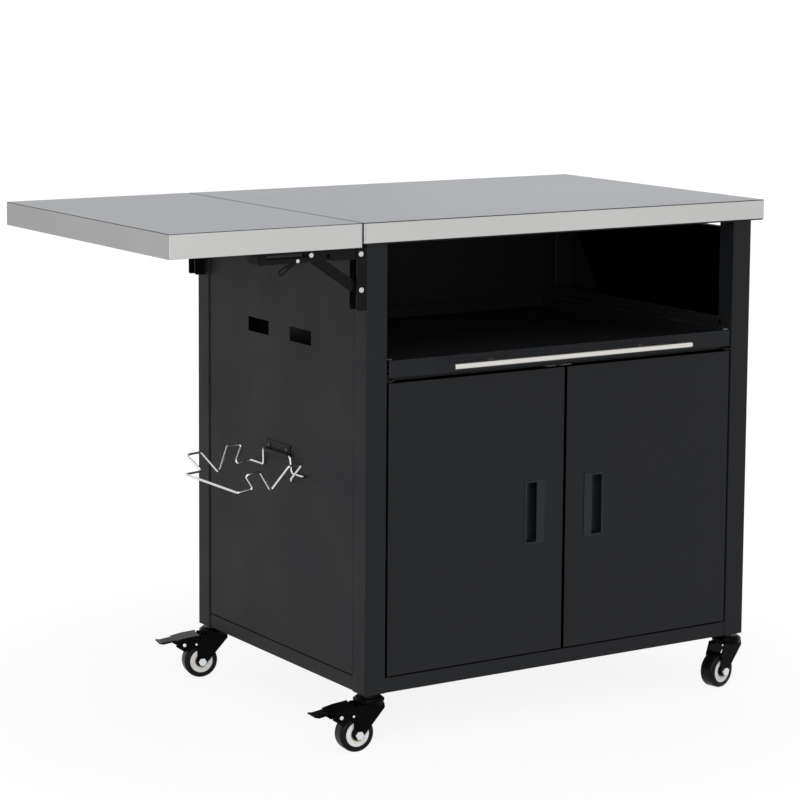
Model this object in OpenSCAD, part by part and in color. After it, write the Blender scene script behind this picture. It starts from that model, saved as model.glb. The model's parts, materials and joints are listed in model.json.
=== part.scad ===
// Grill cart: a two-door steel cabinet on casters under a stainless worktop, with a pull-out tray,
// a fold-down side shelf on locking brackets and a fold-up wire bag rack.
// Millimetres. +X right along the front, -Y towards the user, +Z up, floor at Z = 0.
// Inside the modules X = 0 is the outer face of the left posts and Y = 0 the front face of the front posts.

/* [Cabinet] */
// Width over the posts
cab_w = 808; // [640:1:1100]
// Depth over the posts
cab_d = 575; // [440:1:750]
// Side of the square posts
post_w = 40; // [38:1:50]
// Wall of the posts and rails
tube_wall = 1.5; // [1.2:0.1:2.5]
// Height of the bottom rails
rail_h = 25; // [20:1:32]
// Depth of the bottom rails, front to back
rail_deep = 25; // [20:1:32]
// Thickness of the cabinet sheets
sheet = 1.2; // [0.8:0.1:1.6]
// Set-back of the sheets and rails behind the post faces
set_back = 2; // [0.5:0.1:3]
// Width of the bent edges of the sheets
edge_fold = 15; // [10:1:18]
// Gap between the top of the side sheets and the worktop skirt
vent_gap = 18; // [10:1:30]

/* [Worktop] */
// Height of the worktop above the floor
work_h = 886; // [820:1:960]
// Thickness of the stainless sheet
top_sheet = 1.2; // [0.8:0.1:2]
// Height of the main worktop's skirt
top_skirt = 34; // [28:1:45]
// Radius of the upright corners of the worktops
top_corner = 3; // [2:0.5:6]
// Overhang past the left posts
over_left = 10; // [8:0.5:12]
// Overhang past the right posts
over_right = 23.5; // [10:0.5:40]
// Overhang past the front posts
over_front = 6.3; // [5:0.1:15]
// Overhang past the rear posts
over_back = 20; // [5:0.5:40]
// Width of the underframe rails
frame_rail_w = 40; // [30:1:50]
// How far the underframe shows below the skirt
frame_drop = 2.5; // [0.5:0.1:3]

/* [Side shelf] */
// Length of the side shelf, away from the cabinet
shelf_len = 353.5; // [300:0.5:360]
// Gap between the two worktops
shelf_gap = 2; // [1.5:0.1:4]
// Height of the side shelf's skirt
shelf_skirt = 40; // [36:1:44]
// Height of the bent edge next to the main worktop
shelf_inner_edge = 15; // [8:1:20]
// Width of the shelf's stiffening rails
shelf_rail_w = 25; // [18:1:30]
// Height of the shelf's cross rails
shelf_cross_h = 25; // [15:1:32]
// Clear space between the cross rails and the ends of the shelf
shelf_cross_inset = 12; // [5:1:25]

/* [Folding bracket] */
// Height of the shelf pivot below the worktop surface
pivot_drop = 51; // [48:0.5:54]
// Distance of the shelf pivot from the post
pivot_out = 12; // [11.8:0.1:13]
// Distance of the brace pivot below the shelf pivot
brace_drop = 59; // [55:0.5:64]
// Distance of the brace pivot from the post
brace_out = 11; // [10.5:0.1:12]
// Distance of the slot pin from the shelf pivot, with the shelf up
slot_start = 92.7; // [90:0.1:100]
// Height of the arm's slot above the shelf pivot
slot_rise = 3; // [2:0.1:3.5]
// Length of the arm
arm_len = 189; // [180:1:220]
// Overall width of the wall plate, front to back
plate_w = 24; // [16:0.5:28]
// Depth of the wall plate's flanges
plate_deep = 19.5; // [18:0.5:20.5]
// Height of the wall plate
plate_h = 103; // [95:1:120]
// Thickness of the wall plate
plate_t = 2; // [1.5:0.1:2.2]
// Thickness of the arm
arm_t = 1.8; // [1.4:0.1:2]
// Thickness of the brace
brace_t = 10; // [8:0.5:11]
// Width of the brace
brace_w = 16; // [14:0.5:17]
// Radius of the pivot and slot pins
pin_r = 3; // [2.5:0.1:3.2]
// Radius of the pivot pin heads
pin_head_r = 4.6; // [4:0.1:5]
// Thickness of the rivet and pin heads
head_t = 1.6; // [1:0.1:2]
// Distance of the release lever's rivet from the shelf pivot
lever_at = 117.6; // [112:0.5:125]
// Distance of the release lever's rivet below the shelf pivot
lever_below = 5; // [4.8:0.1:6]
// Reach of the release lever's finger loop
lever_reach = 35; // [30:1:38]
// Thickness of the release lever
lever_t = 1.3; // [1:0.1:1.5]
// Length of the rubber bumper at the arm's end
bumper_len = 13; // [10:1:18]
// Height of the rubber bumper
bumper_h = 20; // [16:1:21]

/* [Tray] */
// Height of the top of the tray above the floor
tray_top = 655; // [630:1:700]
// Depth of the tray pan
tray_deep = 23; // [18:1:40]
// Height of the tray's front lip
lip_h = 29; // [26:1:50]
// Gap between the lip and the posts
lip_gap = 4; // [2:0.5:6]
// Thickness of the tray's sheet
tray_sheet = 1; // [0.8:0.1:1.5]
// Length of the tray handle
handle_len = 500; // [360:1:600]
// Diameter of the tray handle
handle_d = 10; // [8:0.5:14]
// Distance of the handle's axis from the lip
handle_out = 28.5; // [22:0.5:45]
// Distance between the handle's standoffs
handle_pitch = 318; // [200:1:340]
// Diameter of the handle's standoffs
standoff_d = 8; // [6:0.5:9]
// Overall depth of the outer rails' channel
slide_w = 12; // [10:0.5:15]
// Height of the outer rails
slide_h = 40; // [34:1:48]
// Height of the runner inside its channel
runner_h = 18.4; // [15:0.1:20]

/* [Doors] */
// Thickness of a door
door_t = 18; // [16:0.5:25]
// Thickness of the doors' sheet
door_sheet = 1; // [0.8:0.1:1.5]
// Gap between the doors
door_gap = 4; // [3:0.5:6]
// Gap between a door and its post
door_side_gap = 3; // [2.5:0.1:4]
// Gap between the tray's lip and the doors
door_tray_gap = 8; // [7:0.5:14]
// Distance of a hinge pin from its post
hinge_in = 7; // [7:0.1:9]
// Distance of the hinge pins behind the door's face
hinge_back = 4.5; // [4.3:0.1:5]
// Thickness of the hinge washers
washer_t = 1.6; // [1.2:0.1:2]
// Width of a door pull's frame
pull_w = 42; // [34:1:60]
// Height of a door pull's frame
pull_h = 112; // [80:1:160]
// Distance of a pull's frame from the door's free edge
pull_in = 40; // [20:1:80]
// Width of a pull's mouth
pull_mouth = 21; // [16:0.5:26]
// Depth of a pull's cup
pull_deep = 13; // [10:0.5:13.5]
// Rim of a pull's frame around its cup
pull_rim = 3; // [2:0.5:5]

/* [Bag rack] */
// Height of the rack's hinge above the floor
rack_z = 460; // [420:1:468]
// Diameter of the rack's wire
wire_d = 4; // [3:0.1:5]
// Reach of the rack from its hinge
rack_reach = 129; // [120:1:150]
// Width of the rack at its lower bends
rack_w = 184; // [170:1:260]
// Height of the rack's waves
wave_h = 28; // [24:1:34]
// Width of the rack's hinge plate
rack_plate_w = 80; // [70:1:86]
// Slope of the resting rack
rack_droop = 5; // [0:0.5:8]

/* [Louvre slots] */
// Length of a slot in the left sheet
slot_len = 71; // [40:1:100]
// Height of a slot
slot_h = 25; // [15:1:40]
// Distance between the slots
slot_space = 72; // [40:1:120]
// Height of the slots' lower edge above the floor
slot_z = 660; // [600:1:760]

/* [Casters] */
// Height of the posts above the floor
caster_h = 96; // [94:0.5:110]
// Diameter of the wheels
wheel_d = 62; // [54:1:66]
// Width of the tyres
tyre_w = 29; // [22:1:32]
// Radius of the pale wheel core
core_r = 21.5; // [17:0.5:24]
// Distance from the swivel axis to the axle
trail = 27; // [24:1:34]
// Diameter of the swivel head
head_d = 53; // [46:1:56]
// Thickness of the fork
fork_t = 2.5; // [2:0.1:3]
// Radius of the axle bolt
axle_r = 4; // [3:0.1:5]
// Width of the brake pedal's pad
pedal_pad_w = 30; // [20:1:36]
// Radius of the stem
stem_r = 5; // [4:0.5:6]
// Turn of the front left caster
turn_fl = -5; // [-180:1:180]
// Turn of the rear left caster
turn_rl = -13; // [-180:1:180]
// Turn of the front right caster
turn_fr = 12; // [-180:1:180]
// Turn of the rear right caster
turn_rr = -10; // [-180:1:180]

/* [Hidden] */
$fn = 48;
// Clearances
run_fit = 0.05;
gap = 0.3;
// Main worktop
top_x0 = -over_left;
top_x1 = cab_w + over_right;
top_y0 = -over_front;
top_y1 = cab_d + over_back;
skirt_z = work_h - top_skirt;
frame_z = skirt_z - frame_drop;
deck_z = work_h - top_sheet;
// Side shelf
shelf_x1 = top_x0 - shelf_gap;
shelf_x0 = shelf_x1 - shelf_len;
shelf_skirt_z = work_h - shelf_skirt;
// Tray handle
lip_y = set_back / 2;
handle_y = lip_y - handle_out;
handle_z = tray_top - lip_h / 2;
// Middle of the whole cart, which is the origin
mid_x = (shelf_x0 + top_x1) / 2;
mid_y = (handle_y - handle_d / 2 + top_y1) / 2;
half_w = cab_w / 2;
half_d = cab_d / 2;
// Cabinet heights
rail_top = caster_h + rail_h;
panel_z0 = rail_top + 0.5;
panel_z1 = skirt_z - vent_gap;
// Folding bracket
plate_y0 = 0.5;
bracket_y = plate_y0 + plate_w / 2;
pivot = [-pivot_out, work_h - pivot_drop];
brace_pivot = [-brace_out, pivot.y - brace_drop];
slot_pin = [pivot.x - slot_start, pivot.y + slot_rise];
brace_len = norm(slot_pin - brace_pivot);
// Slot pin's distance from the shelf pivot once the shelf hangs down
slot_end = brace_drop + sqrt(pow(brace_len, 2) - pow(slot_rise + pivot_out - brace_out, 2));
plate_top = pivot.y + 10;
plate_bottom = plate_top - plate_h;
arm_w = plate_w - 2 * plate_t - 2 * gap;
arm_in = arm_w / 2 - arm_t;
brace_wall = 2;
arm_below = 8.5;
arm_above = 14;
arm_z1 = pivot.y + arm_above;
lever_pin = [pivot.x - lever_at, pivot.y - lever_below];
lever_r = 4.5;
lever_pin_r = 2;
lever_slope = 31;
loop_w = 10;
loop_len = 22;
loop_hole = 3.6;
slot_head_r = 4.2;
// Tray
tray_floor = tray_top - tray_deep;
channel_h = runner_h + 2 * gap + 2 * tube_wall;
channel_z = tray_floor + 4;
runner_x0 = post_w + tube_wall + gap;
runner_x1 = post_w + slide_w + tray_sheet + gap;
slide_y0 = 4;
slide_y1 = cab_d - set_back - edge_fold - gap;
tray_y1 = cab_d - 15;
slide_screw_z = channel_z + slide_h - 10;
// Doors
door_z0 = rail_top + washer_t + 2 * 0.15;
door_z1 = tray_top - lip_h - door_tray_gap;
door_y = lip_y;
tab_z = door_z1 + washer_t + 2 * 0.15;
tab_t = 2;
header_y0 = 12;
header_w = 20;
header_h = 9.5;
header_z1 = tab_z + header_h;
hinge_x = post_w + hinge_in;
hinge_y = door_y + hinge_back;
hinge_r = 3;
hinge_depth = 6;
washer_r = 5;
catch_w = 44;
catch_d = 13;
catch_h = 14;
strike_t = 1.2;
pull_z = (door_z0 + door_z1) / 2;
pull_t = 1;
pull_wall = 1.2;
pull_edge = half_w - door_gap / 2 - pull_in;
// Bag rack
wire_r = wire_d / 2;
rack_plate_t = 1.5;
barrel_r = wire_r + 1.6;
bend_r = 4;
bend_steps = 5;
wire_facets = 12;
barrel_sunk = 0.5;
rack_x = set_back - rack_plate_t - barrel_r + barrel_sunk;
rack_stop = set_back - wire_r - gap - rack_x;
rack_plate_top = rack_z + 18;
rack_screw_pitch = 60;
screw_head_r = 4;
screw_head_t = 2;
screw_r = 2.5;
// Casters
wheel_r = wheel_d / 2;
fork_in = tyre_w / 2 + 1.2;
fork_out = fork_in + fork_t;
crown_z = caster_h - 14.5;
crown_t = 3;
head_h = 9.2;
nut_h = 3.5;
boss_h = caster_h - crown_z - gap - head_h - nut_h;
boss_r = 12.5;
stem_top = caster_h + 30;
fork_eye_r = 9;
bearing_r = 12;
hub_r = 9;
brake_x = -trail - 11.5;
brake_z = 65;
brake_r = 3;
pedal_t = 2;
casters = [
    [post_w / 2, post_w / 2, turn_fl],
    [post_w / 2, cab_d - post_w / 2, turn_rl],
    [cab_w - post_w / 2, post_w / 2, turn_fr],
    [cab_w - post_w / 2, cab_d - post_w / 2, turn_rr]
];

// Placing

module cart() {
    translate([-mid_x, -mid_y, 0]) children();
}

module rear() {
    translate([0, cab_d, 0]) mirror([0, 1, 0]) children();
}

module front_and_rear() {
    children();
    rear() children();
}

module right() {
    translate([cab_w, 0, 0]) mirror([1, 0, 0]) children();
}

module left_and_right() {
    children();
    right() children();
}

module at_caster(place) {
    translate([place.x, place.y, 0]) rotate([0, 0, place.z]) children();
}

// Basic shapes

module block(low, high) {
    translate(low) cube(high - low);
}

module tube_x(low, high, wall) {
    difference() {
        block(low, high);
        block(low + [-1, wall, wall], high + [1, -wall, -wall]);
    }
}

module tube_y(low, high, wall) {
    difference() {
        block(low, high);
        block(low + [wall, -1, wall], high + [-wall, 1, -wall]);
    }
}

module tube_z(low, high, wall) {
    difference() {
        block(low, high);
        block(low + [wall, wall, -1], high + [-wall, -wall, 1]);
    }
}

// A disc or rod along Y, from y0 to y1, around x and z
module rod_y(x, z, r, y0, y1) {
    translate([x, y1, z]) rotate([90, 0, 0]) cylinder(r = r, h = y1 - y0);
}

// A flat shape drawn in X and Z, spread from y0 to y1
module plate_y(y0, y1) {
    translate([0, y1, 0]) rotate([90, 0, 0]) linear_extrude(y1 - y0) children();
}

// A round-ended bar of width w from a to b
module capsule(a, b, w) {
    along = b - a;
    translate(a) circle(d = w);
    translate(b) circle(d = w);
    translate(a) rotate(atan2(along.y, along.x)) translate([0, -w / 2]) square([norm(along), w]);
}

module rounded_rect(low, high, r) {
    translate(low + [r, 0]) square(high - low - [2 * r, 0]);
    translate(low + [0, r]) square(high - low - [0, 2 * r]);
    for (x = [low.x + r, high.x - r])
        for (y = [low.y + r, high.y - r])
            translate([x, y]) circle(r = r);
}

// A folded stainless top: a deck with a skirt all round
module folded_top(low, high, skirt_bottom) {
    difference() {
        translate([0, 0, skirt_bottom])
            linear_extrude(work_h - skirt_bottom) rounded_rect(low, high, top_corner);
        translate([0, 0, skirt_bottom - 1])
            linear_extrude(deck_z - skirt_bottom + 1)
                rounded_rect(low + [top_sheet, top_sheet], high - [top_sheet, top_sheet],
                    top_corner - top_sheet);
    }
}

// Cabinet frame

module corner_posts() {
    cart() color("#2b2c2e") left_and_right() front_and_rear()
        tube_z([0, 0, caster_h], [post_w, post_w, frame_z], tube_wall);
}

module bottom_long_rails() {
    cart() color("#2b2c2e") {
        difference() {
            tube_x([post_w, set_back, caster_h], [cab_w - post_w, set_back + rail_deep, rail_top], tube_wall);
            left_and_right() translate([hinge_x, hinge_y, rail_top - tube_wall - 1])
                cylinder(r = hinge_r, h = tube_wall + 2);
        }
        rear() tube_x([post_w, set_back, caster_h], [cab_w - post_w, set_back + rail_deep, rail_top], tube_wall);
    }
}

module bottom_side_rails() {
    cart() color("#2b2c2e") left_and_right()
        tube_y([set_back, post_w, caster_h], [set_back + rail_deep, cab_d - post_w, rail_top], tube_wall);
}

// A side sheet with its bent edges, on the left side
module side_sheet() {
    x0 = set_back;
    difference() {
        block([x0, post_w, panel_z0], [x0 + edge_fold, cab_d - post_w, panel_z1]);
        block([x0 + sheet, post_w + sheet, panel_z0 + sheet],
            [x0 + edge_fold + 1, cab_d - post_w - sheet, panel_z1 - sheet]);
    }
}

module left_panel() {
    cart() color("#333436") difference() {
        side_sheet();
        front_and_rear() block([-1, half_d - slot_space / 2 - slot_len, slot_z],
            [set_back + sheet + 1, half_d - slot_space / 2, slot_z + slot_h]);
        for (y = [-1, 1])
            translate([set_back - 1, half_d + y * rack_screw_pitch / 2, rack_z + 9]) rotate([0, 90, 0])
                cylinder(r = screw_r, h = sheet + 2);
    }
}

module right_panel() {
    cart() color("#333436") right() side_sheet();
}

module back_panel() {
    cart() color("#333436") rear() difference() {
        block([post_w, set_back, panel_z0], [cab_w - post_w, set_back + edge_fold, panel_z1]);
        block([post_w + sheet, set_back + sheet, panel_z0 + sheet],
            [cab_w - post_w - sheet, set_back + edge_fold + 1, panel_z1 - sheet]);
    }
}

module bottom_panel() {
    edge = set_back + rail_deep;
    cart() color("#2b2c2e") difference() {
        block([edge, edge, rail_top - edge_fold], [cab_w - edge, cab_d - edge, rail_top]);
        block([edge + sheet, edge + sheet, rail_top - edge_fold - 1],
            [cab_w - edge - sheet, cab_d - edge - sheet, rail_top - sheet]);
        left_and_right() front_and_rear()
            block([0, 0, rail_top - edge_fold - 1], [post_w, post_w, rail_top + 1]);
    }
}

// Rail above the doors, with a hinge tab at each end
module door_header() {
    cart() color("#2b2c2e") {
        tube_x([post_w, header_y0, tab_z], [cab_w - post_w, header_y0 + header_w, header_z1], sheet);
        left_and_right() difference() {
            block([post_w, lip_y + 1, tab_z], [post_w + 2 * hinge_in + 2, header_y0, tab_z + tab_t]);
            translate([hinge_x, hinge_y, tab_z - 1]) cylinder(r = hinge_r, h = tab_t + 2);
        }
    }
}

// Worktop and its underframe

module top_frame_long_rails() {
    in = top_sheet + gap;
    cart() color("#232426") {
        tube_x([top_x0 + in, top_y0 + in, frame_z], [top_x1 - in, top_y0 + in + frame_rail_w, deck_z], tube_wall);
        tube_x([top_x0 + in, top_y1 - in - frame_rail_w, frame_z], [top_x1 - in, top_y1 - in, deck_z], tube_wall);
    }
}

module top_frame_cross_rails() {
    in = top_sheet + gap;
    y0 = top_y0 + in + frame_rail_w;
    y1 = top_y1 - in - frame_rail_w;
    cart() color("#232426")
        for (x = [top_x0 + in, (top_x0 + top_x1 - frame_rail_w) / 2, top_x1 - in - frame_rail_w])
            tube_y([x, y0, frame_z], [x + frame_rail_w, y1, deck_z], tube_wall);
}

module main_worktop() {
    cart() color("#c3c4c2") folded_top([top_x0, top_y0], [top_x1, top_y1], skirt_z);
}

// Folding brackets: fixed plates and pins

module wall_plate() {
    corner = 4;
    difference() {
        union() {
            block([-plate_t, plate_y0, plate_bottom], [0, plate_y0 + plate_w, plate_top]);
            for (y = [plate_y0, plate_y0 + plate_w - plate_t])
                plate_y(y, y + plate_t)
                    rounded_rect([-plate_deep, plate_bottom], [0, plate_top], corner);
        }
        rod_y(pivot.x, pivot.y, pin_r, -1, plate_w + 2);
        rod_y(brace_pivot.x, brace_pivot.y, pin_r, -1, plate_w + 2);
    }
}

module bracket_wall_plates() {
    cart() color("#28292b") front_and_rear() wall_plate();
}

module bracket_pin(at) {
    rod_y(at.x, at.y, pin_r, plate_y0, plate_y0 + plate_w);
    rod_y(at.x, at.y, pin_head_r, plate_y0 - head_t, plate_y0);
    rod_y(at.x, at.y, pin_head_r, plate_y0 + plate_w, plate_y0 + plate_w + head_t);
}

module bracket_pivot_pins() {
    cart() color("#d0d1d0") front_and_rear() {
        bracket_pin(pivot);
        bracket_pin(brace_pivot);
    }
}

// Folding brackets: moving pieces, drawn for the front bracket

// Flat outline of the arm's side, around the shelf pivot
module arm_outline() {
    notch_r = pin_r + 1.3;
    notch_top = brace_out - pivot_out;
    difference() {
        union() {
            translate([-arm_len, -arm_below]) square([arm_len, arm_below + arm_above]);
            circle(r = arm_below);
        }
        capsule([-slot_start + gap, slot_rise], [-slot_end - gap, slot_rise], 2 * (pin_r + gap));
        translate([-brace_drop, notch_top]) circle(r = notch_r);
        translate([-brace_drop - notch_r, -arm_below - 1]) square([2 * notch_r, arm_below + 1 + notch_top]);
        translate([-lever_at, -lever_below]) circle(r = lever_pin_r);
        circle(r = pin_r + run_fit);
    }
}

module bracket_arm() {
    low = bracket_y - arm_w / 2;
    high = bracket_y + arm_w / 2;
    for (y = [low, high - arm_t])
        plate_y(y, y + arm_t) translate(pivot) arm_outline();
    block([pivot.x - arm_len, low, arm_z1 - arm_t], [pivot.x, high, arm_z1]);
}

module bracket_arms() {
    cart() color("#28292b") front_and_rear() bracket_arm();
}

module brace() {
    plate_y(bracket_y - brace_t / 2, bracket_y + brace_t / 2) difference() {
        capsule(brace_pivot, slot_pin, brace_w);
        translate(brace_pivot) circle(r = pin_r + run_fit);
        translate(slot_pin) circle(r = pin_r + gap);
    }
}

// The brace is a channel, open on its lower side
module brace_channel() {
    way = (slot_pin - brace_pivot) / norm(slot_pin - brace_pivot);
    below = brace_wall * [-way.y, way.x] * (way.x < 0 ? 1 : -1);
    difference() {
        brace();
        plate_y(bracket_y - brace_t / 2 + brace_wall, bracket_y + brace_t / 2 - brace_wall)
            translate(below) capsule(brace_pivot, slot_pin, brace_w);
    }
}

module bracket_braces() {
    cart() color("#28292b") front_and_rear() brace_channel();
}

// Two short pins, one in each side of the arm, that ride in its slot on either face of the brace
module slot_pin_pair() {
    for (side = [-1, 1])
        translate([0, bracket_y, 0]) mirror([0, side > 0 ? 1 : 0, 0]) {
            rod_y(slot_pin.x, slot_pin.y, pin_r, -arm_w / 2 - gap, -brace_t / 2 - gap);
            rod_y(slot_pin.x, slot_pin.y, slot_head_r, -arm_w / 2 - gap - head_t, -arm_w / 2 - gap);
        }
}

module slot_pins() {
    cart() color("#d0d1d0") front_and_rear() slot_pin_pair();
}

module release_lever() {
    tip = lever_pin - lever_reach * [cos(lever_slope), sin(lever_slope)];
    root = tip + (loop_len - loop_w) * [cos(lever_slope), sin(lever_slope)];
    y0 = bracket_y - arm_in + gap;
    plate_y(y0, y0 + lever_t) difference() {
        union() {
            translate(lever_pin) circle(r = lever_r);
            capsule(lever_pin, root, 2 * lever_r - 1);
            capsule(root, tip, loop_w);
        }
        capsule(root, tip, loop_hole);
        translate(lever_pin) circle(r = lever_pin_r + run_fit);
    }
}

module front_release_lever() {
    cart() color("#1f2022") release_lever();
}

module rear_release_lever() {
    cart() color("#1f2022") rear() release_lever();
}

module lever_rivets() {
    y0 = bracket_y - arm_w / 2;
    cart() color("#d0d1d0") front_and_rear() {
        rod_y(lever_pin.x, lever_pin.y, lever_pin_r, y0, y0 + arm_t + gap + lever_t);
        rod_y(lever_pin.x, lever_pin.y, 3.3, y0 - head_t, y0);
    }
}

module shelf_bumpers() {
    x1 = pivot.x - arm_len;
    cart() color("#1a1a1b") front_and_rear()
        block([x1 - bumper_len, bracket_y - arm_w / 2, arm_z1 - bumper_h], [x1, bracket_y + arm_w / 2, arm_z1]);
}

// Side shelf

module side_shelf_top() {
    cart() color("#c3c4c2") difference() {
        folded_top([shelf_x0, top_y0], [shelf_x1, top_y1], shelf_skirt_z);
        block([shelf_x1 - top_corner - 1, top_y0 + top_corner, shelf_skirt_z - 1],
            [shelf_x1 + 1, top_y1 - top_corner, work_h - shelf_inner_edge]);
    }
}

module side_shelf_frame() {
    y0 = plate_y0 + plate_t;
    x0 = shelf_x0 + top_sheet + gap;
    x1 = shelf_x1 - top_sheet - gap;
    cart() color("#232426") {
        front_and_rear() tube_x([x0, y0, arm_z1], [x1, y0 + shelf_rail_w, deck_z], tube_wall);
        for (x = [x0 + shelf_cross_inset, x1 - shelf_cross_inset - shelf_rail_w])
            tube_y([x, y0 + shelf_rail_w, deck_z - shelf_cross_h],
                [x + shelf_rail_w, cab_d - y0 - shelf_rail_w, deck_z], tube_wall);
    }
}

// Tray

module tray_outer_rails() {
    x1 = post_w + slide_w;
    cart() color("#232426") left_and_right() difference() {
        union() {
            block([post_w, slide_y0, channel_z], [post_w + tube_wall, slide_y1, channel_z + slide_h]);
            block([post_w, slide_y0, channel_z], [x1, slide_y1, channel_z + tube_wall]);
            block([post_w, slide_y0, channel_z + channel_h - tube_wall], [x1, slide_y1, channel_z + channel_h]);
        }
        front_and_rear() translate([post_w - 1, post_w - 9, slide_screw_z]) rotate([0, 90, 0])
            cylinder(r = screw_r, h = tube_wall + 2);
    }
}

module tray_runners() {
    z0 = channel_z + tube_wall + gap;
    cart() color("#8d8f91") left_and_right()
        tube_y([runner_x0, slide_y0 + 4, z0], [runner_x1, slide_y1 - 8, z0 + runner_h], tray_sheet);
}

module tray_pan() {
    lip_x = post_w + lip_gap;
    cart() color("#2b2c2e") {
        difference() {
            block([runner_x1, lip_y + tray_sheet, tray_floor], [cab_w - runner_x1, tray_y1, tray_top]);
            block([runner_x1 + tray_sheet, lip_y, tray_floor + tray_sheet],
                [cab_w - runner_x1 - tray_sheet, tray_y1 - tray_sheet, tray_top + 1]);
        }
        block([lip_x, lip_y, tray_top - lip_h], [cab_w - lip_x, lip_y + tray_sheet, tray_top]);
    }
}

module tray_handle_bar() {
    cart() color("#d2d0cb") translate([half_w - handle_len / 2, handle_y, handle_z]) rotate([0, 90, 0])
        cylinder(d = handle_d, h = handle_len);
}

module tray_handle_standoffs() {
    cart() color("#d2d0cb") left_and_right() difference() {
        rod_y(half_w - handle_pitch / 2, handle_z, standoff_d / 2, handle_y, lip_y);
        translate([half_w - handle_len / 2, handle_y, handle_z]) rotate([0, 90, 0])
            cylinder(d = handle_d, h = handle_len);
    }
}

// Doors, drawn for the left side

module door_skin() {
    x0 = post_w + door_side_gap;
    x1 = half_w - door_gap / 2;
    difference() {
        block([x0, door_y, door_z0], [x1, door_y + door_t, door_z1]);
        block([x0 + door_sheet, door_y + door_sheet, door_z0 + door_sheet],
            [x1 - door_sheet, door_y + door_t + 1, door_z1 - door_sheet]);
        translate([hinge_x, hinge_y, door_z0 - 1])
            cylinder(r = hinge_r + run_fit, h = door_z1 - door_z0 + 2);
        block([pull_edge - pull_w + pull_rim, door_y - 1, pull_z - pull_h / 2 + pull_rim],
            [pull_edge - pull_rim, door_y + door_sheet + 1, pull_z + pull_h / 2 - pull_rim]);
    }
}

module door_liner() {
    x0 = post_w + door_side_gap + door_sheet;
    x1 = half_w - door_gap / 2 - door_sheet;
    y1 = door_y + door_t;
    block([x0, y1 - door_sheet, door_z0 + door_sheet], [x1, y1, door_z1 - door_sheet]);
    block([x1 - catch_w / 2, y1, door_z1 - catch_h], [x1 - 4, y1 + strike_t, door_z1 - 3]);
}

// A flush cup pull: a frame on the door's face, a cup behind it and a grip lip on the free-edge side
module door_pull() {
    x0 = pull_edge - pull_w;
    z0 = pull_z - pull_h / 2;
    z1 = pull_z + pull_h / 2;
    cup_x0 = x0 + pull_rim;
    cup_x1 = pull_edge - pull_rim;
    cup_y1 = door_y + door_sheet + pull_deep;
    difference() {
        union() {
            block([x0, door_y - pull_t, z0], [pull_edge, door_y, z1]);
            block([cup_x0, door_y - pull_t, z0 + pull_rim], [cup_x1, cup_y1, z1 - pull_rim]);
        }
        block([cup_x0 + pull_wall, door_y + pull_wall, z0 + pull_rim + pull_wall],
            [cup_x1 - pull_wall, cup_y1 - pull_wall, z1 - pull_rim - pull_wall]);
        block([cup_x0 + pull_wall, door_y - pull_t - 1, z0 + pull_rim + pull_wall],
            [cup_x0 + pull_wall + pull_mouth, cup_y1 - pull_wall, z1 - pull_rim - pull_wall]);
    }
}

module left_door_skin() {
    cart() color("#2a2b2d") door_skin();
}

module left_door_liner() {
    cart() color("#2a2b2d") door_liner();
}

module left_door_pull() {
    cart() color("#1c1d1f") door_pull();
}

module right_door_skin() {
    cart() color("#2a2b2d") right() door_skin();
}

module right_door_liner() {
    cart() color("#2a2b2d") right() door_liner();
}

module right_door_pull() {
    cart() color("#1c1d1f") right() door_pull();
}

module door_hinge_pins() {
    cart() color("#b9bab8") left_and_right() {
        translate([hinge_x, hinge_y, rail_top - tube_wall])
            cylinder(r = hinge_r, h = door_z0 - rail_top + tube_wall + hinge_depth);
        translate([hinge_x, hinge_y, door_z1 - hinge_depth])
            cylinder(r = hinge_r, h = tab_z + tab_t - door_z1 + hinge_depth);
    }
}

module door_hinge_washers() {
    cart() color("#d9d9d4") left_and_right()
        for (z = [rail_top + 0.15, door_z1 + 0.15])
            translate([hinge_x, hinge_y, z]) difference() {
                cylinder(r = washer_r, h = washer_t);
                translate([0, 0, -1]) cylinder(r = hinge_r + run_fit, h = washer_t + 2);
            }
}

module door_catches() {
    x1 = half_w - door_gap / 2 - 2;
    y0 = door_y + door_t + strike_t + gap;
    cart() color("#d9d9d4") left_and_right()
        block([x1 - catch_w / 2, y0, tab_z - catch_h], [x1 - 2, y0 + catch_d, tab_z]);
}

// Bag rack

module rack_hinge_plate() {
    y0 = half_d - rack_plate_w / 2;
    x0 = set_back - rack_plate_t;
    web = 1.4;
    cart() color("#1d1e20") difference() {
        union() {
            block([x0, y0, rack_z], [set_back, y0 + rack_plate_w, rack_plate_top]);
            block([rack_x, y0, rack_z + wire_r + web / 2], [x0 + 0.5, y0 + rack_plate_w, rack_z + barrel_r - 0.3]);
            rod_y(rack_x, rack_z, barrel_r, y0, y0 + rack_plate_w);
        }
        rod_y(rack_x, rack_z, wire_r + run_fit, y0 - 1, y0 + rack_plate_w + 1);
        for (y = [-1, 1])
            translate([x0 - 1, half_d + y * rack_screw_pitch / 2, rack_z + 9]) rotate([0, 90, 0])
                cylinder(r = screw_r, h = rack_plate_t + 2);
    }
}

// The wire from its hinge end to the corner of its outer bar: distance from the hinge, height and half width
function rack_side() = let (
    low = rack_w / 2,
    flare = low + 13,
    inner = low + 1,
    s = rack_reach / 129
) [
    [0, 0, rack_plate_w / 2 - 5],
    [0, 0, rack_plate_w / 2 + 6],
    [-rack_stop, -wave_h, rack_plate_w / 2 + 9],
    [-rack_stop, -wave_h, inner],
    [30 * s, -wave_h - 2, inner],
    [9 * s, 0, flare],
    [37.5 * s, 1, flare + 2],
    [63.5 * s, -wave_h - 11, low - 2],
    [92 * s, 1, flare - 2],
    [121.5 * s, 1, flare],
    [96.5 * s, -wave_h - 1.5, low - 2],
    [rack_reach, -wave_h - 1.5, low]
];

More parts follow.
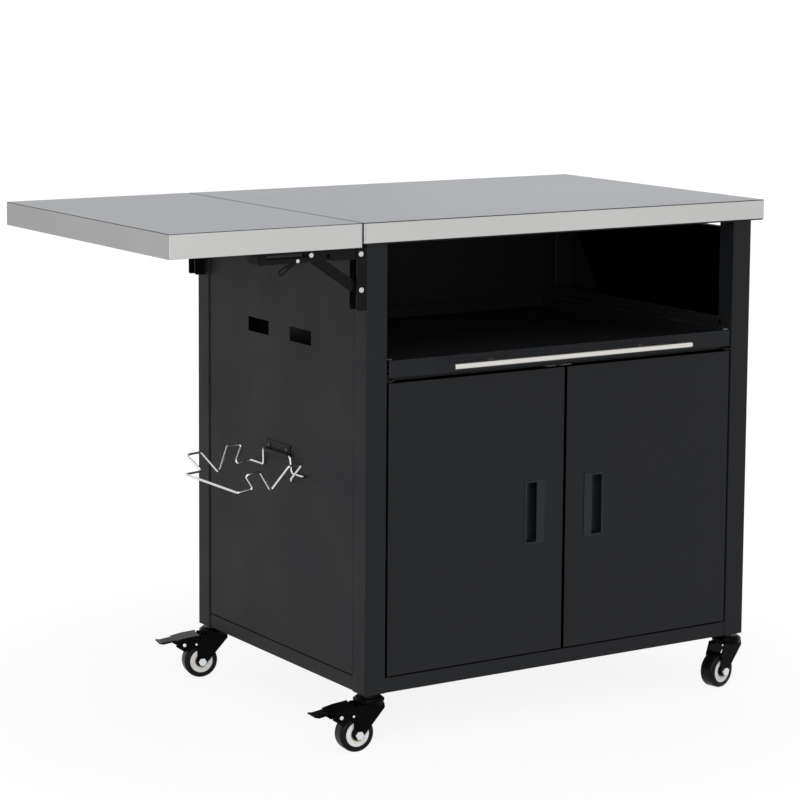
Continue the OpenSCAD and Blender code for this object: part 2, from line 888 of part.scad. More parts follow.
// A rack point, from the middle of the hinge, on the rear (1) or the front (-1) side
function rack_point(p, side) = [-p.x, side * p.z, p.y - max(p.x, 0) * tan(rack_droop)];

function unit(v) = v / norm(v);

// Points of the round bend at corner i of a path
function bend_points(path, i) = let (
    ahead = unit(path[i] - path[i - 1]),
    next = unit(path[i + 1] - path[i]),
    turn = acos(ahead * next),
    out = unit(ahead * (ahead * next) - next),
    start = path[i] - ahead * bend_r * tan(turn / 2),
    centre = start - out * bend_r
) [for (k = [0 : bend_steps])
    let (t = turn * k / bend_steps) centre + bend_r * (out * cos(t) + ahead * sin(t))];

// Direction of the wire at point j of its centre line
function heading(line, j) = unit(
    (j == 0 ? [0, 0, 0] : unit(line[j] - line[j - 1]))
    + (j == len(line) - 1 ? [0, 0, 0] : unit(line[j + 1] - line[j]))
);

function across(v, along) = unit(v - along * (along * v));

// A round wire of radius r along a centre line
module wire(line, r) {
    n = len(line);
    sides = [for (j = 0, v = across([0, 0, 1], heading(line, 0)); j < n;
        j = j + 1, v = j < n ? across(v, heading(line, j)) : v) v];
    points = [for (j = [0 : n - 1]) for (k = [0 : wire_facets - 1])
        let (t = 360 * k / wire_facets, other = cross(heading(line, j), sides[j]))
            line[j] + r * (cos(t) * sides[j] + sin(t) * other)];
    walls = [for (j = [0 : n - 2]) for (k = [0 : wire_facets - 1])
        let (m = (k + 1) % wire_facets, low = j * wire_facets, high = low + wire_facets)
            each [[low + k, high + k, high + m], [low + k, high + m, low + m]]];
    first = [for (k = [0 : wire_facets - 1]) k];
    last = [for (k = [0 : wire_facets - 1]) n * wire_facets - 1 - k];
    polyhedron(points = points, faces = concat(walls, [first, last]));
}

module bag_rack_wire() {
    n = len(rack_side());
    rear_half = [for (p = rack_side()) rack_point(p, 1)];
    front_half = [for (i = [n - 1 : -1 : 0]) rack_point(rack_side()[i], -1)];
    path = concat(rear_half, front_half);
    bends = [for (i = [1 : len(path) - 2]) each bend_points(path, i)];
    cart() color("#d6d7d8") translate([rack_x, half_d, rack_z])
        wire(concat([path[0]], bends, [path[len(path) - 1]]), wire_r);
}

module cabinet_screws() {
    cart() color("#2a2a2b") {
        for (y = [-1, 1])
            translate([set_back - rack_plate_t, half_d + y * rack_screw_pitch / 2, rack_z + 9]) rotate([0, 90, 0]) {
                translate([0, 0, -screw_head_t]) cylinder(r = screw_head_r, h = screw_head_t);
                cylinder(r = screw_r, h = rack_plate_t + sheet + 3);
            }
        left_and_right() front_and_rear()
            translate([post_w + tube_wall, post_w - 9, slide_screw_z]) rotate([0, 90, 0]) {
                cylinder(r = screw_head_r, h = screw_head_t);
                translate([0, 0, -tube_wall]) cylinder(r = screw_r, h = tube_wall);
            }
    }
}

// Casters: fixed pieces

module post_plugs() {
    in = tube_wall + 0.2;
    cart() color("#1a1a1b")
        for (place = casters)
            translate([place.x, place.y, 0]) difference() {
                union() {
                    block([in - post_w / 2, in - post_w / 2, caster_h], [post_w / 2 - in, post_w / 2 - in, stem_top]);
                    translate([0, 0, caster_h - boss_h]) cylinder(r = boss_r, h = boss_h);
                }
                translate([0, 0, caster_h - boss_h - 1]) cylinder(r = stem_r, h = stem_top);
            }
}

module caster_stems() {
    nut_r = stem_r + 4.8;
    low = crown_z - crown_t - gap - 8;
    cart() color("#c9cacb")
        for (place = casters)
            translate([place.x, place.y, 0]) {
                translate([0, 0, low]) cylinder(r = stem_r, h = stem_top - low - 2);
                translate([0, 0, crown_z + gap + head_h]) cylinder(r = nut_r, h = nut_h, $fn = 6);
                translate([0, 0, low]) cylinder(r = nut_r, h = 8, $fn = 6);
            }
}

module caster_heads() {
    head_r = head_d / 2;
    cart() color("#151516")
        for (place = casters)
            translate([place.x, place.y, crown_z + gap]) rotate_extrude() polygon([
                [stem_r, 0], [head_r - 3, 0], [head_r, 2], [head_r, 5], [head_r - 2.5, 7.2],
                [head_r - 8, head_h], [stem_r, head_h]
            ]);
}

// Casters: moving pieces, drawn with the swivel axis at the origin and the wheel trailing towards -X

// Flat outline of a fork cheek
module cheek_outline(braked) {
    left = -trail - fork_eye_r + 0.5;
    translate([-trail, wheel_r]) circle(r = fork_eye_r);
    polygon([
        [head_d / 2 - 6, crown_z - 1], [head_d / 2 - 5, crown_z - 9], [-trail + 6.7, wheel_r - 6],
        [left, wheel_r], [left, brake_z - 6], [left + 8, crown_z - 1]
    ]);
    if (braked) translate([brake_x, brake_z]) circle(r = 8);
}

module caster_fork(braked) {
    color("#151516") difference() {
        union() {
            for (y = [-fork_out, fork_in])
                plate_y(y, y + fork_t) cheek_outline(braked);
            translate([0, 0, crown_z - crown_t]) cylinder(r = head_d / 2 - 1, h = crown_t);
            intersection() {
                translate([0, 0, crown_z - 12]) difference() {
                    cylinder(r = head_d / 2 - 1, h = 10);
                    translate([0, 0, -1]) cylinder(r = head_d / 2 - 1 - fork_t, h = 12);
                }
                block([0, -fork_out, 0], [head_d, fork_out, caster_h]);
            }
            if (braked)
                for (side = [-1, 1])
                    mirror([0, side > 0 ? 1 : 0, 0]) {
                        rod_y(brake_x, brake_z, brake_r, -fork_out - gap * 2 - pedal_t, -fork_in);
                        rod_y(brake_x, brake_z, brake_r + 1.2, -fork_out - 2 * gap - pedal_t - head_t,
                            -fork_out - 2 * gap - pedal_t);
                    }
        }
        translate([0, 0, crown_z - crown_t - 1]) cylinder(r = stem_r + run_fit, h = crown_t + 2);
        rod_y(-trail, wheel_r, axle_r, -fork_out - 1, fork_out + 1);
    }
}

module caster_axle() {
    head_r = axle_r * 1.88;
    color("#cfd3d6") {
        rod_y(-trail, wheel_r, axle_r, -fork_out, fork_out);
        translate([-trail, -fork_out, wheel_r]) rotate([90, 0, 0]) cylinder(r = head_r, h = 5.3, $fn = 6);
        translate([-trail, fork_out, wheel_r]) rotate([-90, 0, 0]) cylinder(r = head_r, h = 6.5, $fn = 6);
    }
}

module wheel_turned() {
    translate([-trail, 0, wheel_r]) rotate([90, 0, 0]) rotate_extrude($fn = 96) children();
}

module caster_core() {
    hub_half = fork_in - gap;
    color("#e6e5de") wheel_turned() difference() {
        union() {
            translate([axle_r + run_fit, -tyre_w / 2 + 1]) square([core_r - axle_r - run_fit, tyre_w - 2]);
            translate([axle_r + run_fit, -hub_half]) square([hub_r - axle_r - run_fit, 2 * hub_half]);
        }
        for (side = [-1, 1])
            translate([hub_r, side > 0 ? tyre_w / 2 - 2.5 : -tyre_w / 2 - 0.5]) square([bearing_r - hub_r, 3]);
    }
}

module caster_tyre() {
    round_r = 6;
    half = tyre_w / 2;
    color("#1b1b1c") wheel_turned() {
        translate([core_r, -half]) square([wheel_r - round_r - core_r, tyre_w]);
        translate([core_r, round_r - half]) square([wheel_r - core_r, tyre_w - 2 * round_r]);
        for (y = [round_r - half, half - round_r])
            intersection() {
                translate([wheel_r - round_r, y]) circle(r = round_r);
                translate([core_r, -half]) square([wheel_r, tyre_w]);
            }
    }
}

module brake_pedal() {
    side = fork_out + gap;
    color("#151516") {
        difference() {
            for (y = [-side - pedal_t, side])
                plate_y(y, y + pedal_t) polygon([
                    [brake_x + 8, brake_z + 16.5], [brake_x - 30, brake_z + 10], [brake_x - 38, brake_z - 2],
                    [brake_x - 22, brake_z - 13], [brake_x - 6, brake_z - 9], [brake_x + 6, brake_z - 4]
                ]);
            rod_y(brake_x, brake_z, brake_r + run_fit, -side - pedal_t - 1, side + pedal_t + 1);
        }
        plate_y(-side - pedal_t, side + pedal_t) polygon([
            [brake_x + 6, brake_z + 16.2], [brake_x - 18, brake_z + 13.5], [brake_x - 38, brake_z + 9.3],
            [brake_x - 38, brake_z + 6.3], [brake_x - 18, brake_z + 10.5], [brake_x + 6, brake_z + 13.2]
        ]);
        plate_y(-pedal_pad_w / 2, pedal_pad_w / 2) polygon([
            [brake_x - 18, brake_z + 13.5], [brake_x - 44, brake_z + 8], [brake_x - 60, brake_z + 5.5],
            [brake_x - 67, brake_z + 6.5], [brake_x - 68, brake_z + 4.5], [brake_x - 60, brake_z + 2.5],
            [brake_x - 44, brake_z + 5], [brake_x - 18, brake_z + 10.5]
        ]);
    }
}

module fork_fl() {
    cart() at_caster(casters[0]) caster_fork(true);
}

module axle_fl() {
    cart() at_caster(casters[0]) caster_axle();
}

module core_fl() {
    cart() at_caster(casters[0]) caster_core();
}

module tyre_fl() {
    cart() at_caster(casters[0]) caster_tyre();
}

module pedal_fl() {
    cart() at_caster(casters[0]) brake_pedal();
}

module fork_rl() {
    cart() at_caster(casters[1]) caster_fork(true);
}

module axle_rl() {
    cart() at_caster(casters[1]) caster_axle();
}

module core_rl() {
    cart() at_caster(casters[1]) caster_core();
}

module tyre_rl() {
    cart() at_caster(casters[1]) caster_tyre();
}

module pedal_rl() {
    cart() at_caster(casters[1]) brake_pedal();
}

module fork_fr() {
    cart() at_caster(casters[2]) caster_fork(false);
}

module axle_fr() {
    cart() at_caster(casters[2]) caster_axle();
}

module core_fr() {
    cart() at_caster(casters[2]) caster_core();
}

module tyre_fr() {
    cart() at_caster(casters[2]) caster_tyre();
}

module fork_rr() {
    cart() at_caster(casters[3]) caster_fork(false);
}

module axle_rr() {
    cart() at_caster(casters[3]) caster_axle();
}

module core_rr() {
    cart() at_caster(casters[3]) caster_core();
}

module tyre_rr() {
    cart() at_caster(casters[3]) caster_tyre();
}

corner_posts();
bottom_long_rails();
bottom_side_rails();
left_panel();
right_panel();
back_panel();
bottom_panel();
door_header();
top_frame_long_rails();
top_frame_cross_rails();
main_worktop();
bracket_wall_plates();
bracket_pivot_pins();
tray_outer_rails();
door_hinge_pins();
door_hinge_washers();
door_catches();
rack_hinge_plate();
cabinet_screws();
post_plugs();
caster_stems();
caster_heads();
tray_pan();
tray_runners();
tray_handle_bar();
tray_handle_standoffs();
left_door_skin();
left_door_liner();
left_door_pull();
right_door_skin();
right_door_liner();
right_door_pull();
side_shelf_top();
side_shelf_frame();
bracket_arms();
lever_rivets();
shelf_bumpers();
bracket_braces();
slot_pins();
front_release_lever();
rear_release_lever();
bag_rack_wire();
fork_fl();
axle_fl();
core_fl();
tyre_fl();
pedal_fl();
fork_rl();
axle_rl();
core_rl();
tyre_rl();
pedal_rl();
fork_fr();
axle_fr();
core_fr();
tyre_fr();
fork_rr();
axle_rr();
core_rr();
tyre_rr();
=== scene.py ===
"""Grill cart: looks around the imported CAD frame. Metres, +X right along the front, -Y towards the user."""

import json
import math

import bmesh
import bpy
from mathutils import Matrix, Vector

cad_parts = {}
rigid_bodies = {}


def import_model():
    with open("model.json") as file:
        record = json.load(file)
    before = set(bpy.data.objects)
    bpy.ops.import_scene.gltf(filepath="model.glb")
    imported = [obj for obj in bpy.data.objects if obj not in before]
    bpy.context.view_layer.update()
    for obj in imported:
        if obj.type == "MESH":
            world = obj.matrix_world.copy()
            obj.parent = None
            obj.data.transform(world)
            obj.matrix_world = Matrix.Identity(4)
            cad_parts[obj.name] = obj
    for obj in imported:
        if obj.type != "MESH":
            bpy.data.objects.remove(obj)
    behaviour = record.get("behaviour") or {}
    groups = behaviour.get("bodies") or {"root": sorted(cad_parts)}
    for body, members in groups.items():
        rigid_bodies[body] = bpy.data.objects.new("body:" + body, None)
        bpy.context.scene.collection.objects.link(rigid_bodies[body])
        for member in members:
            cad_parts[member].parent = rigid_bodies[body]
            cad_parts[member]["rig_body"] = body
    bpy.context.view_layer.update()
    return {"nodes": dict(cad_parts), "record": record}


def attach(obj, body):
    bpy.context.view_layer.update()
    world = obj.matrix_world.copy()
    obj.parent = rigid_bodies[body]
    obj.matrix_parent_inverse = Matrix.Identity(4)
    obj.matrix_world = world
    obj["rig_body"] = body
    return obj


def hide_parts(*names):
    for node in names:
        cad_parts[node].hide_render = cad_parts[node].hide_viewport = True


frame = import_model()
NODES = frame["nodes"]
SLOT_OF = {part["node"]: part["material_slot"] for part in frame["record"]["subparts"]}

# The cart's own millimetres: X from the left posts, Y from the front posts, Z from the floor
MID = Vector((0.233, 0.28125, 0))
CART = Matrix.Translation(-MID) @ Matrix.Diagonal((0.001, 0.001, 0.001, 1))
MM = 0.001

# ---------------------------------------------------------------- camera

LENS_PX = 2691.4
YAW, PITCH, ROLL = (math.radians(v) for v in (32.769, -7.148, 0.409))
EYE = Vector((-2.5355, -3.9569, 1.3361))
SIDE_PX = 800


def add_camera():
    data = bpy.data.cameras.new("camera")
    data.sensor_width = 36
    data.lens = LENS_PX / SIDE_PX * data.sensor_width
    data.shift_y = -0.15
    data.clip_start, data.clip_end = 0.1, 50
    camera = bpy.data.objects.new("camera", data)
    bpy.context.scene.collection.objects.link(camera)
    ahead = Vector((math.sin(YAW) * math.cos(PITCH), math.cos(YAW) * math.cos(PITCH), math.sin(PITCH)))
    level = Vector((math.cos(YAW), -math.sin(YAW), 0))
    up = level.cross(ahead)
    right = level * math.cos(ROLL) + up * math.sin(ROLL)
    up = up * math.cos(ROLL) - level * math.sin(ROLL)
    turn = Matrix((right, up, -ahead)).transposed()
    camera.matrix_world = Matrix.Translation(EYE) @ turn.to_4x4()
    bpy.context.scene.camera = camera


# ---------------------------------------------------------------- materials

def srgb(*rgb):
    """A colour given as 0 to 255 screen values, as the linear values that a shader takes."""
    return tuple((c / 255 / 12.92) if c < 10.3 else ((c / 255 + 0.055) / 1.055) ** 2.4 for c in rgb) + (1.0,)


def shade(color, factor):
    return tuple(min(1.0, c * factor) for c in color[:3]) + (1.0,)


class Material:
    """A node material with the few helpers that every finish here needs."""

    def __init__(self, name, color, rough, metallic=0.0, specular=0.5, coat=0.0):
        self.material = bpy.data.materials.new(name)
        self.material.use_nodes = True
        self.tree = self.material.node_tree
        self.shader = self.tree.nodes["Principled BSDF"]
        self.shader.inputs["Base Color"].default_value = color
        self.shader.inputs["Roughness"].default_value = rough
        self.shader.inputs["Metallic"].default_value = metallic
        self.shader.inputs["Specular IOR Level"].default_value = specular
        self.shader.inputs["Coat Weight"].default_value = coat
        self.shader.inputs["Coat Roughness"].default_value = 0.1
        self.bumps = None

    def add(self, kind, **values):
        node = self.tree.nodes.new(kind)
        for key, value in values.items():
            if key in node.inputs:
                node.inputs[key].default_value = value
            else:
                setattr(node, key, value)
        return node

    def join(self, a, out, b, into):
        self.tree.links.new(a.outputs[out], b.inputs[into])

    def noise(self, size, stretch=(1, 1, 1), detail=2.0, rough=0.5):
        """Noise whose features are about size metres across, stretched along the axes."""
        coord = self.add("ShaderNodeTexCoord")
        mapping = self.add("ShaderNodeMapping")
        mapping.inputs["Scale"].default_value = tuple(1 / (size * s) for s in stretch)
        noise = self.add("ShaderNodeTexNoise", Scale=1.0, Detail=detail, Roughness=rough)
        self.join(coord, "Object", mapping, "Vector")
        self.join(mapping, "Vector", noise, "Vector")
        return noise

    def ramp(self, source, out, low, high, to_low, to_high):
        node = self.add("ShaderNodeMapRange")
        for key, value in (("From Min", low), ("From Max", high), ("To Min", to_low), ("To Max", to_high)):
            node.inputs[key].default_value = value
        self.join(source, out, node, "Value")
        return node

    def vary_color(self, source, out, low, high, dark, light):
        """Colour that goes from dark to light as the source goes from low to high."""
        node = self.add("ShaderNodeMix", data_type="RGBA")
        color_inputs = [i for i in node.inputs if i.type == "RGBA"]
        color_inputs[0].default_value = dark
        color_inputs[1].default_value = light
        amount = self.ramp(source, out, low, high, 0, 1)
        self.tree.links.new(amount.outputs["Result"], node.inputs[0])
        color_out = [o for o in node.outputs if o.type == "RGBA"][0]
        self.tree.links.new(color_out, self.shader.inputs["Base Color"])

    def vary_rough(self, source, out, low, high, smooth, rough):
        self.join(self.ramp(source, out, low, high, smooth, rough), "Result", self.shader, "Roughness")

    def bump(self, source, out, height, strength=1.0):
        """Adds a bump of about height metres over the bumps already there."""
        node = self.add("ShaderNodeBump", Strength=strength, Distance=height)
        self.join(source, out, node, "Height")
        if self.bumps:
            self.join(self.bumps, "Normal", node, "Normal")
        self.bumps = node
        self.join(node, "Normal", self.shader, "Normal")


def powder_coat(name, color, rough=0.55, specular=0.17, grain=0.0009):
    """Matte powder coat: a fine orange peel with slight cloudiness in gloss and shade."""
    m = Material(name, color, rough, specular=specular)
    m.bump(m.noise(grain, detail=1.5), "Fac", 0.00006, 0.6)
    cloud = m.noise(0.12, detail=3)
    m.vary_rough(cloud, "Fac", 0.3, 0.7, rough - 0.05, rough + 0.05)
    m.vary_color(cloud, "Fac", 0.3, 0.7, shade(color, 0.92), shade(color, 1.08))
    return m.material


def brushed(name, color, rough, along, metallic=1.0, cloud=0.03):
    """Brushed stainless: fine grain lines along one axis (0, 1 or 2), with broad soft changes in tone."""
    m = Material(name, color, rough, metallic=metallic)
    grain, streak = 0.0006, 0.15
    stretch = [grain / streak] * 3
    stretch[along] = 1.0
    lines = m.noise(streak, stretch=tuple(stretch), detail=4, rough=0.65)
    m.bump(lines, "Fac", 0.00002, 0.35)
    m.vary_rough(lines, "Fac", 0.25, 0.75, rough - 0.07, rough + 0.07)
    m.vary_color(m.noise(0.35, detail=1.5), "Fac", 0.3, 0.7, shade(color, 1 - cloud), shade(color, 1 + cloud))
    return m.material


def plated(name, color, rough, wear=0.03):
    """Zinc or chrome plate: bright metal with a slight mottling."""
    m = Material(name, color, rough, metallic=1.0)
    mottle = m.noise(0.003, detail=3)
    m.vary_rough(mottle, "Fac", 0.3, 0.7, max(rough - wear, 0.02), rough + wear)
    m.vary_color(mottle, "Fac", 0.3, 0.7, shade(color, 0.93), color)
    m.bump(mottle, "Fac", 0.00001, 0.2)
    return m.material


def moulded(name, color, rough, specular=0.5, coat=0.0):
    """Moulded plastic or rubber with a fine even grain."""
    m = Material(name, color, rough, specular=specular, coat=coat)
    m.bump(m.noise(0.0006, detail=2), "Fac", 0.00004, 0.5)
    cloud = m.noise(0.02, detail=2)
    m.vary_rough(cloud, "Fac", 0.3, 0.7, rough - 0.04, rough + 0.06)
    m.vary_color(cloud, "Fac", 0.3, 0.7, shade(color, 0.94), shade(color, 1.05))
    return m.material


MATERIALS = {
    # The stainless top is one steel in copies with light and shade painted into the base colour: the deck
    # painted darker as a painted dark reflection, the skirts painted lighter as painted light.
    "steel_deck_painted_dark": brushed("steel_deck_painted_dark", (0.230, 0.244, 0.268, 1), 0.36, 0, metallic=0.85),
    "top_skirt": brushed("top_skirt", (0.57, 0.57, 0.56, 1), 0.38, 0, metallic=0.85),
    # The left end and the bent corners: the same steel in a painted middle shade, which also dulls the
    # corners' highlight.
    "steel_end_painted_shade": brushed("steel_end_painted_shade", (0.36, 0.365, 0.36, 1), 0.40, 2, metallic=0.85, cloud=0.09),
    # The rounded bends: the same steel painted darkest, a painted dark line of shade and reflection along the
    # edges.
    "steel_bend_painted_dark": brushed("steel_bend_painted_dark", (0.06, 0.062, 0.065, 1), 0.42, 1, metallic=0.85),
    "black_paint": powder_coat("black_paint", srgb(28, 29.5, 32)),
    "dark_frame": powder_coat("dark_frame", srgb(29, 30, 31)),
    "black_steel": powder_coat("black_steel", srgb(13, 13.5, 14), rough=0.38, specular=0.1, grain=0.0006),
    "gloss_black": powder_coat("gloss_black", srgb(5, 5, 6), rough=0.22, specular=0.04, grain=0.0012),
    "black_screw": plated("black_screw", srgb(62, 63, 66), 0.32),
    "zinc": plated("zinc", (0.72, 0.76, 0.80, 1), 0.24),
    "chrome": plated("chrome", (0.66, 0.665, 0.67, 1), 0.12, wear=0.02),
    "pin_steel": plated("pin_steel", (0.60, 0.585, 0.55, 1), 0.26),
    "handle_steel": brushed("handle_steel", (0.70, 0.68, 0.65, 1), 0.33, 0),
    "black_plastic": moulded("black_plastic", srgb(19, 23, 29), 0.35, specular=0.26),
    "pale_plastic": moulded("pale_plastic", srgb(214, 214, 208), 0.45),
    "wheel_core": moulded("wheel_core", srgb(250, 250, 247), 0.35, coat=0.2),
    "rubber": moulded("rubber", srgb(20, 20, 20), 0.7, specular=0.2),
    "tyre": moulded("tyre", srgb(11, 11, 12), 0.32, specular=0.12),
    "brass": plated("brass", (0.45, 0.36, 0.22, 1), 0.35),
}


def dress(name, key):
    """Gives a CAD node one of the materials."""
    for slot in NODES[name].material_slots:
        slot.material = MATERIALS[key]


for name in NODES:
    key = SLOT_OF.get(name, "black_paint")
    # Every stainless node takes the deck's copy of the steel, darkened as painted shade.
    dress(name, "steel_deck_painted_dark" if key == "stainless" else key)

# ---------------------------------------------------------------- pieces from mesh code

SHARP = math.radians(30)
NEARLY_FLAT = math.radians(0.6)
WELD = 2e-6
SAME_PLACE = 1e-5


def add_piece(name, bm, keys, body, nodes=(), place=CART, bevel=0.0):
    """Makes an object of bm, drawn in millimetres, rides it on a body and lets it stand for CAD nodes."""
    bm.transform(place)
    bmesh.ops.recalc_face_normals(bm, faces=bm.faces)
    mesh = bpy.data.meshes.new(name)
    bm.to_mesh(mesh)
    bm.free()
    for key in keys:
        mesh.materials.append(MATERIALS[key])
    mesh.shade_smooth()
    piece = bpy.data.objects.new(name, mesh)
    bpy.context.scene.collection.objects.link(piece)
    if bevel:
        edge = piece.modifiers.new("edges", "BEVEL")
        edge.width, edge.segments = bevel * MM, 2
        edge.limit_method, edge.angle_limit = "ANGLE", SHARP
        piece.modifiers.new("normals", "WEIGHTED_NORMAL")
    else:
        mesh.set_sharp_from_angle(angle=SHARP)
    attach(piece, body)
    if nodes:
        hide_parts(*nodes)


def draw_in(bm, seams):
    """Moves a sheet's outermost corners inwards, so that a dark gap shows beside it.

    seams holds pairs of an axis and a distance in millimetres.
    """
    for axis, by in seams:
        places = [v.co[axis] for v in bm.verts]
        low, high = min(places), max(places)
        for vert in bm.verts:
            if vert.co[axis] - low < SAME_PLACE:
                vert.co[axis] += by * MM
            elif high - vert.co[axis] < SAME_PLACE:
                vert.co[axis] -= by * MM


def rounded(node, small, wide=0.0, rule=None, keys=None, index=None, segments=3, seams=()):
    """A copy of a CAD node with its sharp edges rounded: small millimetres, or wide where rule(edge) holds."""
    bm = bmesh.new()
    bm.from_mesh(NODES[node].data)
    bmesh.ops.remove_doubles(bm, verts=bm.verts, dist=WELD)
    bmesh.ops.dissolve_limit(bm, angle_limit=NEARLY_FLAT, verts=bm.verts, edges=bm.edges)
    bmesh.ops.recalc_face_normals(bm, faces=bm.faces)
    draw_in(bm, seams)
    bm.normal_update()
    largest = max(small, wide)
    weight = bm.edges.layers.float.new("bevel_weight_edge")
    for edge in bm.edges:
        if len(edge.link_faces) == 2 and edge.calc_face_angle(0) > SHARP:
            edge[weight] = (wide if wide and rule(edge) else small) / largest
    for face in bm.faces:
        if index:
            face.material_index = index(face)
        face.smooth = True
    name = f"{node}_rounded"
    mesh = bpy.data.meshes.new(name)
    bm.to_mesh(mesh)
    bm.free()
    for key in keys or [SLOT_OF[node]]:
        mesh.materials.append(MATERIALS[key])
    piece = bpy.data.objects.new(name, mesh)
    bpy.context.scene.collection.objects.link(piece)
    edges = piece.modifiers.new("edges", "BEVEL")
    edges.width, edges.segments, edges.limit_method = largest * MM, segments, "WEIGHT"
    # The rounded edges take the last material; on the worktops that is the steel painted darkest, a painted
    # dark line along the bends.
    edges.material = len(mesh.materials) - 1
    normals = piece.modifiers.new("normals", "WEIGHTED_NORMAL")
    normals.keep_sharp = True
    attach(piece, NODES[node]["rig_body"])
    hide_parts(node)


def middle(edge):
    return (edge.verts[0].co + edge.verts[1].co) / 2


def runs_along(axis):
    """Convex edges that run along an axis: the long bends of a tube or sheet."""
    def rule(edge):
        way = edge.verts[1].co - edge.verts[0].co
        return edge.is_convex and abs(way[axis]) > 0.99 * way.length
    return rule


def arc(centre, radius, start, end, steps=8):
    """Points of an arc about a (radius, along) centre, with the angles in degrees."""
    angles = (math.radians(start + (end - start) * i / steps) for i in range(steps + 1))
    return [(centre[0] + radius * math.cos(a), centre[1] + radius * math.sin(a)) for a in angles]


def circle(bm, centre, side, other, radius, sides):
    turns = (2 * math.pi * k / sides for k in range(sides))
    return [bm.verts.new(centre + radius * (side * math.cos(t) + other * math.sin(t))) for t in turns]


def lathe(bm, profile, origin, axis, sides, ring=False):
    """Turns a profile of (radius, along) points about an axis through origin; a ring's profile is closed."""
    origin, axis = Vector(origin), Vector(axis).normalized()
    side = axis.orthogonal().normalized()
    other = axis.cross(side)
    loops = []
    for radius, along in profile:
        centre = origin + axis * along
        if radius < 1e-6:
            loops.append([bm.verts.new(centre)] * sides)
        else:
            loops.append(circle(bm, centre, side, other, radius, sides))
    pairs = list(zip(loops, loops[1:])) + ([(loops[-1], loops[0])] if ring else [])
    for low, high in pairs:
        for k in range(sides):
            m = (k + 1) % sides
            corners = []
            for vert in (low[k], low[m], high[m], high[k]):
                if vert not in corners:
                    corners.append(vert)
            bm.faces.new(corners)
    return bm


def sweep(bm, line, radius, sides=20):
    """A round bar along a line of points, with flat ends."""
    headings = []
    for i, point in enumerate(line):
        before = (point - line[i - 1]).normalized() if i else Vector()
        after = (line[i + 1] - point).normalized() if i + 1 < len(line) else Vector()
        headings.append((before + after).normalized())
    side = headings[0].orthogonal().normalized()
    loops = []
    for point, ahead in zip(line, headings):
        side = (side - ahead * ahead.dot(side)).normalized()
        other = ahead.cross(side)
        loops.append(circle(bm, point, side, other, radius, sides))
    for low, high in zip(loops, loops[1:]):
        for k in range(sides):
            m = (k + 1) % sides
            bm.faces.new((low[k], low[m], high[m], high[k]))
    bm.faces.new(loops[0][::-1])
    bm.faces.new(loops[-1])
    return bm


def pan_head(bm, origin, axis, radius, height):
    """A low domed head standing on origin, with its foot sunk a little into what it holds."""
    dome, rim, foot = 1.6, 0.78, 0.6
    end = 90 - math.degrees(math.asin(rim / dome))
    crown = arc((0, height - radius * dome), radius * dome, 90, end, 5)
    profile = crown + [(radius * 0.95, height * 0.55), (radius, height * 0.25), (radius, -foot), (0, -foot)]
    return lathe(bm, profile, origin, axis, 32)


# ---------------------------------------------------------------- worktops

# One stainless steel in copies with painted light and shade; the last goes on the rounded bends.
TOP_KEYS = ["steel_deck_painted_dark", "steel_end_painted_shade", "top_skirt", "steel_bend_painted_dark"]
DECK_FROM_Z, OUTLINE_FROM_Z = 0.88, 0.8858


def deck_or_skirt(face):
    """Index into TOP_KEYS, one steel with painted light and shade: the deck (painted darker), the left end
    with the bent corners (painted shade), or another skirt (painted lighter).
    """
    if face.normal.z > 0.9 and face.calc_center_median().z > DECK_FROM_Z:
        return 0
    turned = abs(face.normal.x) > 0.05 and abs(face.normal.y) > 0.05
    return 1 if turned or face.normal.x < -0.9 else 2


def on_top_outline(edge):
    return edge.is_convex and all(v.co.z > OUTLINE_FROM_Z for v in edge.verts)


for node in ("main_worktop", "side_shelf_top"):
    rounded(node, 0.35, 1.6, on_top_outline, TOP_KEYS, deck_or_skirt, segments=4)

# ---------------------------------------------------------------- sheets, tubes and brackets

UPRIGHT = runs_along(2)
ALONG_X = runs_along(0)
ALONG_Y = runs_along(1)
SIDE_SEAMS = ((1, 2.4), (2, 1.4))
BACK_SEAMS = ((0, 2.4), (2, 1.4))
DOOR_SEAMS = ((0, 1.0), (2, 1.0))


def lies_on(axis, *levels):
    """Convex edges at one of these places along an axis, in the cart's millimetres."""
    def rule(edge):
        place = (middle(edge) + MID)[axis] / MM
        return edge.is_convex and any(abs(place - level) < 0.05 for level in levels)
    return rule


rounded("corner_posts", 0.3, 2.2, UPRIGHT)
rounded("bottom_long_rails", 0.3, 1.5, ALONG_X)
rounded("bottom_side_rails", 0.3, 1.5, ALONG_Y)
rounded("left_panel", 0.3, 1.0, lies_on(0, 2.0), seams=SIDE_SEAMS)
rounded("right_panel", 0.3, 1.0, lies_on(0, 806.0), seams=SIDE_SEAMS)
rounded("back_panel", 0.3, 1.0, lies_on(1, 573.0), seams=BACK_SEAMS)
rounded("bottom_panel", 0.3, 1.0, lies_on(2, 121.0))
rounded("door_header", 0.3, 1.0, ALONG_X)
rounded("top_frame_long_rails", 0.3, 1.2, ALONG_X)
rounded("top_frame_cross_rails", 0.3, 1.2, ALONG_Y)
rounded("side_shelf_frame", 0.3, 1.2, lambda e: ALONG_X(e) or ALONG_Y(e))
rounded("bracket_wall_plates", 0.3, 1.2, lambda e: UPRIGHT(e) and (middle(e) + MID).x > -0.0002)
rounded("bracket_arms", 0.3, 1.0, lambda e: ALONG_X(e) and middle(e).z > 0.848)
rounded("bracket_braces", 0.6)
rounded("front_release_lever", 0.35)
rounded("rear_release_lever", 0.35)
rounded("shelf_bumpers", 1.5)
for node in ("bracket_pivot_pins", "slot_pins", "lever_rivets"):
    rounded(node, 1.3, keys=["pin_steel"])
rounded("tray_outer_rails", 0.3)
rounded("tray_runners", 0.25)
rounded("tray_pan", 0.3, 0.45, lambda e: e.is_convex)
rounded("tray_handle_standoffs", 0.5)
rounded("rack_hinge_plate", 0.4)
